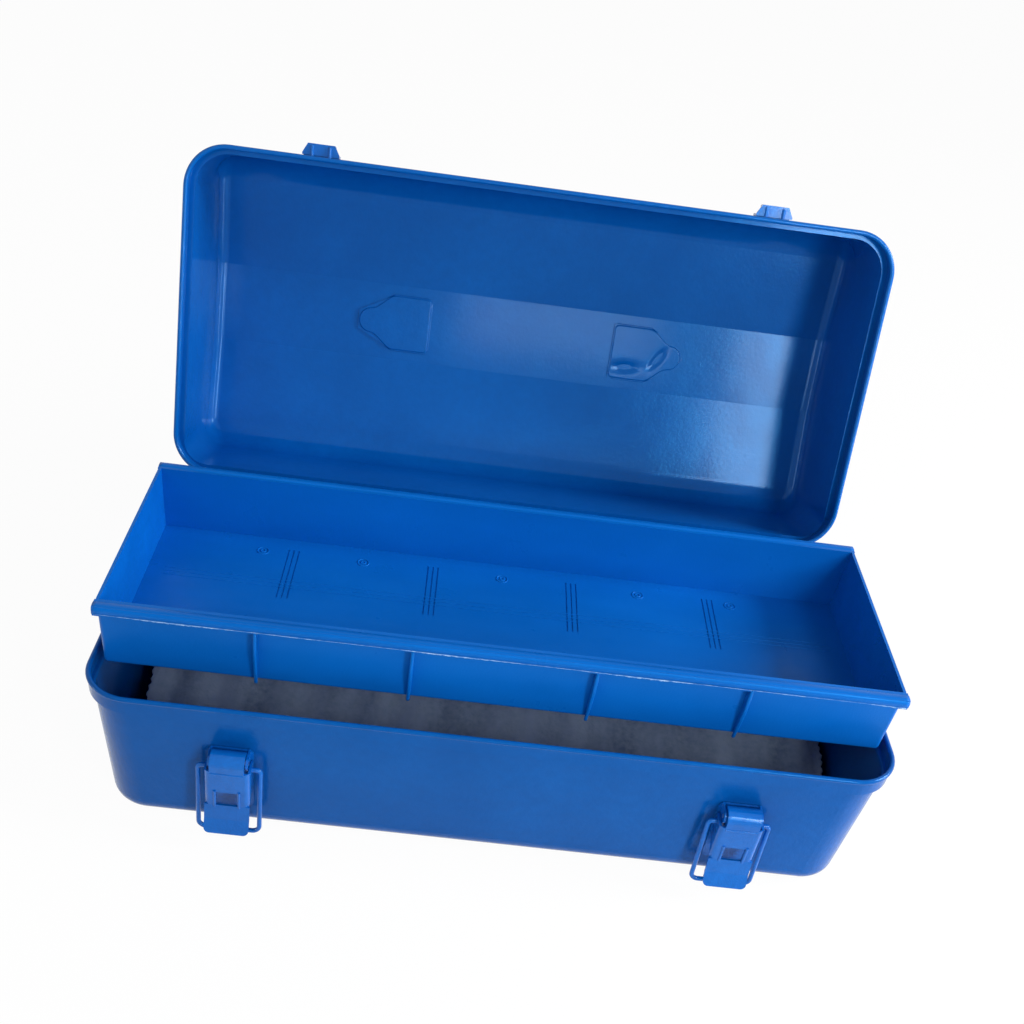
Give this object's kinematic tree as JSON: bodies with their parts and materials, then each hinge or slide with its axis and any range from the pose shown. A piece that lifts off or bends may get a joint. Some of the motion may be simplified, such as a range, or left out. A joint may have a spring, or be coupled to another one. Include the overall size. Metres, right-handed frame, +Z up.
{
  "type": "portable tool box",
  "caption": "Pressed-steel hand tool box with a domed hinged lid standing open, a lift-out moulded tray, draw latches on the front and a swinging carrying handle on the lid.",
  "frame": {"origin": "middle of the flat underside of the lower box, on the floor", "axes": "+X along the length to the right, -Y to the front with the latches, +Z up"},
  "size_m": [0.43, 0.3564, 0.2884],
  "materials": {
    "box_paint": "gloss blue enamel on pressed steel",
    "lid_paint": "gloss blue enamel on pressed steel",
    "hinge_paint": "gloss blue enamel",
    "latch_paint": "gloss blue enamel on bent sheet",
    "wire_paint": "gloss blue enamel on wire",
    "pin_steel": "plain steel",
    "handle_steel": "zinc-plated rod",
    "grip_plastic": "black moulded grip",
    "tray_plastic": "satin blue polypropylene",
    "packing_foam": "thin grey packing-foam sheet"
  },
  "bodies": {
    "box": {"box_body": "box_paint", "foam_liner": "packing_foam", "hinge_leaf_box_left": "hinge_paint", "hinge_leaf_box_right": "hinge_paint", "hinge_pin_left": "pin_steel", "hinge_pin_right": "pin_steel", "latch_base_left": "latch_paint", "latch_base_right": "latch_paint", "latch_pin_left": "pin_steel", "latch_pin_right": "pin_steel", "tray_rest_left": "box_paint", "tray_rest_right": "box_paint"},
    "lid": {"lid_shell": "lid_paint", "hinge_leaf_lid_left": "hinge_paint", "hinge_leaf_lid_right": "hinge_paint", "keeper_left": "latch_paint", "keeper_right": "latch_paint", "handle_bracket_left": "lid_paint", "handle_bracket_right": "lid_paint"},
    "tray": {"tray": "tray_plastic"},
    "handle": {"handle_rod": "handle_steel", "handle_grip": "grip_plastic"},
    "lever_left": {"latch_lever_left": "latch_paint"},
    "bail_left": {"latch_bail_left": "wire_paint"},
    "lever_right": {"latch_lever_right": "latch_paint"},
    "bail_right": {"latch_bail_right": "wire_paint"}
  },
  "joints": [
    {"name": "lid_hinge", "type": "hinge", "parent": "box", "child": "lid", "pos_m": [0, 0.1034, 0.0902], "axis": [-1, 0, 0], "range_deg": [-108.5, 0]},
    {"name": "tray_lift", "type": "slide", "parent": "box", "child": "tray", "axis": [0, 0, 1], "range_m": [0, 0.06]},
    {"name": "handle_swing", "type": "hinge", "parent": "lid", "child": "handle", "pos_m": [0, 0.23038, 0.15675], "axis": [1, 0, 0], "range_deg": [-16, 159]},
    {"name": "lever_left_swing", "type": "hinge", "parent": "box", "child": "lever_left", "pos_m": [-0.136, -0.10397, 0.058], "axis": [-1, 0, 0], "range_deg": [0, 120]},
    {"name": "bail_left_swing", "type": "hinge", "parent": "lever_left", "child": "bail_left", "pos_m": [-0.136, -0.10247, 0.052], "axis": [1, 0, 0], "range_deg": [-174.55, 0]},
    {"name": "lever_right_swing", "type": "hinge", "parent": "box", "child": "lever_right", "pos_m": [0.136, -0.10397, 0.058], "axis": [-1, 0, 0], "range_deg": [0, 120]},
    {"name": "bail_right_swing", "type": "hinge", "parent": "lever_right", "child": "bail_right", "pos_m": [0.136, -0.10247, 0.052], "axis": [1, 0, 0], "range_deg": [-174.55, 0]}
  ]
}
